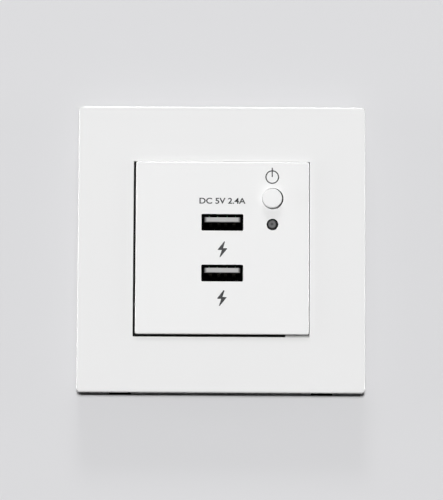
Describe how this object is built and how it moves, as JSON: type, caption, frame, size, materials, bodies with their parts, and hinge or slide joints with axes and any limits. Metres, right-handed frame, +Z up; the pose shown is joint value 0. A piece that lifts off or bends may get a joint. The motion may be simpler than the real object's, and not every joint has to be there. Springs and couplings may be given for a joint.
{
  "type": "usb wall socket",
  "caption": "Square white wall plate with a raised insert carrying stacked USB-A charging ports, a round power button and an indicator lamp, with a rear power module and clamp terminals.",
  "frame": {"origin": "midway between the two fixing slots, on the plane of the wall", "axes": "+Z up, +X to the right seen from the front, +Y into the wall, so the front faces -Y"},
  "size_m": [0.086, 0.0383, 0.086],
  "materials": {
    "frame_plastic": "fine satin white",
    "panel_plastic": "fine satin white",
    "button_plastic": "fine satin white",
    "plate_plastic": "black moulded",
    "housing_plastic": "matt off-white",
    "block_plastic": "dark grey moulded",
    "black_plastic": "black moulded",
    "tongue_plastic": "light grey moulded",
    "lens_plastic": "smoky diffused",
    "shell_metal": "dark plated",
    "contact_metal": "bright",
    "screw_steel": "zinc plated",
    "clamp_steel": "yellow zinc plated",
    "board": "green solder mask",
    "ferrite": "dark sintered",
    "winding_tape": "yellow insulating tape",
    "can_sleeve": "dark sleeve",
    "film_box": "yellow moulded box",
    "resistor_coating": "green coated"
  },
  "bodies": {
    "socket": {"cover_frame": "frame_plastic", "mounting_plate": "plate_plastic", "front_panel": "panel_plastic", "rear_housing": "housing_plastic", "front_board": "board", "usb_shell_upper": "shell_metal", "usb_shell_lower": "shell_metal", "usb_tongue_upper": "tongue_plastic", "usb_tongue_lower": "tongue_plastic", "usb_contacts_upper": "contact_metal", "usb_contacts_lower": "contact_metal", "switch_body": "black_plastic", "switch_spring": "screw_steel", "switch_pins": "contact_metal", "lamp_lens": "lens_plastic", "lamp_leads": "screw_steel", "lamp_spacer": "black_plastic", "charge_controller": "black_plastic", "front_resistors": "black_plastic", "link_header": "black_plastic", "link_pins": "contact_metal", "power_board": "board", "transformer_core": "ferrite", "transformer_bobbin": "black_plastic", "transformer_winding": "winding_tape", "transformer_pins": "contact_metal", "input_capacitors": "can_sleeve", "output_capacitors": "can_sleeve", "safety_capacitor": "film_box", "bridge_rectifier": "black_plastic", "fuse_resistor": "resistor_coating", "filter_choke": "ferrite", "power_chip": "black_plastic", "terminal_block": "block_plastic", "line_bar": "contact_metal", "neutral_bar": "contact_metal"},
    "button": {"power_button": "button_plastic", "switch_plunger": "panel_plastic"},
    "line_screw": {"line_screw": "screw_steel"},
    "line_clamp": {"line_clamp": "clamp_steel"},
    "neutral_screw": {"neutral_screw": "screw_steel"},
    "neutral_clamp": {"neutral_clamp": "clamp_steel"}
  },
  "joints": [
    {"name": "button_press", "type": "slide", "parent": "socket", "child": "button", "axis": [0, 1, 0], "range_m": [0, 0.0015], "stiffness_N_per_m": 800, "springref_m": -0.001, "deforming": ["switch_spring"]},
    {"name": "line_screw_turn", "type": "hinge", "parent": "socket", "child": "line_screw", "pos_m": [-0.00525, 0.02, -0.0172], "axis": [0, -1, 0], "range_deg": [0, 1800]},
    {"name": "line_clamp_rise", "type": "slide", "parent": "socket", "child": "line_clamp", "axis": [0, 1, 0], "range_m": [0, 0.0025]},
    {"name": "neutral_screw_turn", "type": "hinge", "parent": "socket", "child": "neutral_screw", "pos_m": [0.00575, 0.02, -0.0172], "axis": [0, -1, 0], "range_deg": [0, 1800]},
    {"name": "neutral_clamp_rise", "type": "slide", "parent": "socket", "child": "neutral_clamp", "axis": [0, 1, 0], "range_m": [0, 0.0025]}
  ],
  "couplings": [
    {"joint": "line_screw_turn", "follows": "line_clamp_rise", "rad_per_m": 12566},
    {"joint": "neutral_screw_turn", "follows": "neutral_clamp_rise", "rad_per_m": 12566}
  ]
}
